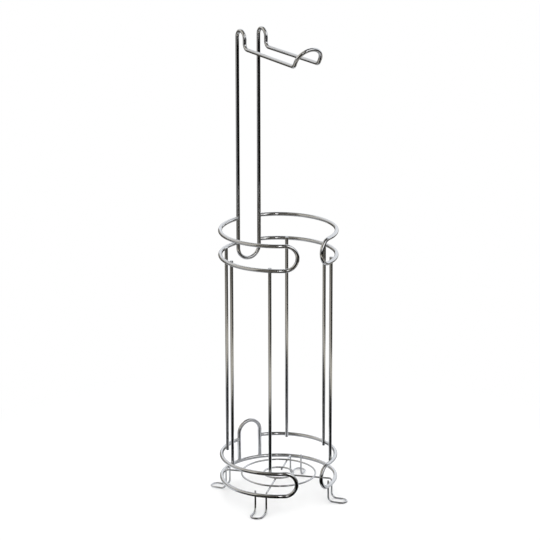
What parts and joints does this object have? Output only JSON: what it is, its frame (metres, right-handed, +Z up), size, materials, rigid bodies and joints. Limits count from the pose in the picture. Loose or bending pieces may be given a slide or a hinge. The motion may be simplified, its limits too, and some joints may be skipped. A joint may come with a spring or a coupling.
{
  "type": "toilet roll storage holder",
  "caption": "Free-standing chromed wire holder: a round cage on looped feet stores spare rolls, and a bent arm on a tall mast carries the roll in use.",
  "frame": {"origin": "on the floor, on the axis of the round cage", "axes": "+Z up along the cage's axis, +Y towards the mast at the back, -Y towards the arm's tip and the front gap, +X to the right seen from the front"},
  "size_m": [0.153, 0.1559, 0.609],
  "materials": {
    "chromed_wire": "bright chrome plate on drawn steel wire",
    "chromed_thin_wire": "bright chrome plate on thin drawn steel wire"
  },
  "bodies": {
    "root": {"mast_and_arm": "chromed_wire", "collar_left": "chromed_wire", "collar_right": "chromed_wire", "upright_back_left": "chromed_wire", "upright_left": "chromed_wire", "upright_front_left": "chromed_wire", "upright_front_right": "chromed_wire", "upright_right": "chromed_wire", "upright_back_right": "chromed_wire", "basket_rings": "chromed_wire", "back_hoop": "chromed_wire", "base_ring_outer": "chromed_thin_wire", "base_ring_inner": "chromed_thin_wire", "foot_front_left": "chromed_thin_wire", "foot_front_right": "chromed_thin_wire", "foot_back_right": "chromed_thin_wire", "foot_back_left": "chromed_thin_wire"}
  },
  "joints": []
}
